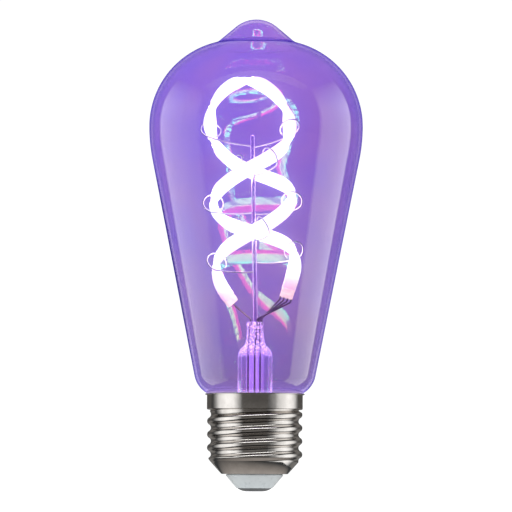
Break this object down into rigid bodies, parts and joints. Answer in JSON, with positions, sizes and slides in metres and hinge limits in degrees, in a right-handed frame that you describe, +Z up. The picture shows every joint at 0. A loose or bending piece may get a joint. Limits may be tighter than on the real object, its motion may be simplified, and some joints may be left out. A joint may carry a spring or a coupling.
{
  "type": "filament led bulb",
  "caption": "Clear pear-shaped glass bulb with a flexible LED filament wound as a double spiral round a glass pillar, on a screw cap for a standard lamp holder.",
  "frame": {"origin": "middle of the flat land at the foot of the centre contact", "axes": "+Z up along the bulb's axis, from the contact to the nub; the side seen in the picture faces -Y"},
  "size_m": [0.0586, 0.0586, 0.1295],
  "materials": {
    "clear_glass": "clear, blown",
    "stem_glass": "clear, drawn",
    "lit_strip": "soft coat over lit chips",
    "strip_end": "plain",
    "support_wire": "drawn",
    "lead_wire": "drawn",
    "nickel_plate": "rolled and plated",
    "insulator": "moulded",
    "contact_metal": "pressed",
    "cement": "cured",
    "circuit_board": "solder mask",
    "capacitor_can": "shrunk sleeve",
    "ferrite": "sintered",
    "moulded_package": "moulded",
    "resistor_coat": "dipped",
    "hookup_wire": "tinned"
  },
  "bodies": {
    "root": {"glass_envelope": "clear_glass", "glass_stem": "stem_glass", "exhaust_tube": "stem_glass", "pillar_rod": "stem_glass", "led_filament": "lit_strip", "filament_end_right": "strip_end", "filament_end_left": "strip_end", "support_right_1": "support_wire", "support_right_2": "support_wire", "support_right_3": "support_wire", "support_right_4": "support_wire", "support_right_5": "support_wire", "support_left_1": "support_wire", "support_left_2": "support_wire", "support_left_3": "support_wire", "support_left_4": "support_wire", "support_left_5": "support_wire", "lead_red": "lead_wire", "lead_green": "lead_wire", "lead_white": "lead_wire", "lead_blue": "lead_wire", "lead_common": "lead_wire", "screw_shell": "nickel_plate", "cap_insulator": "insulator", "centre_contact": "contact_metal", "capping_cement": "cement", "driver_board": "circuit_board", "smoothing_capacitor": "capacitor_can", "filter_choke": "ferrite", "driver_chip": "moulded_package", "bridge_rectifier": "moulded_package", "fuse_resistor": "resistor_coat", "shell_wire": "hookup_wire", "contact_wire": "hookup_wire"}
  },
  "joints": []
}
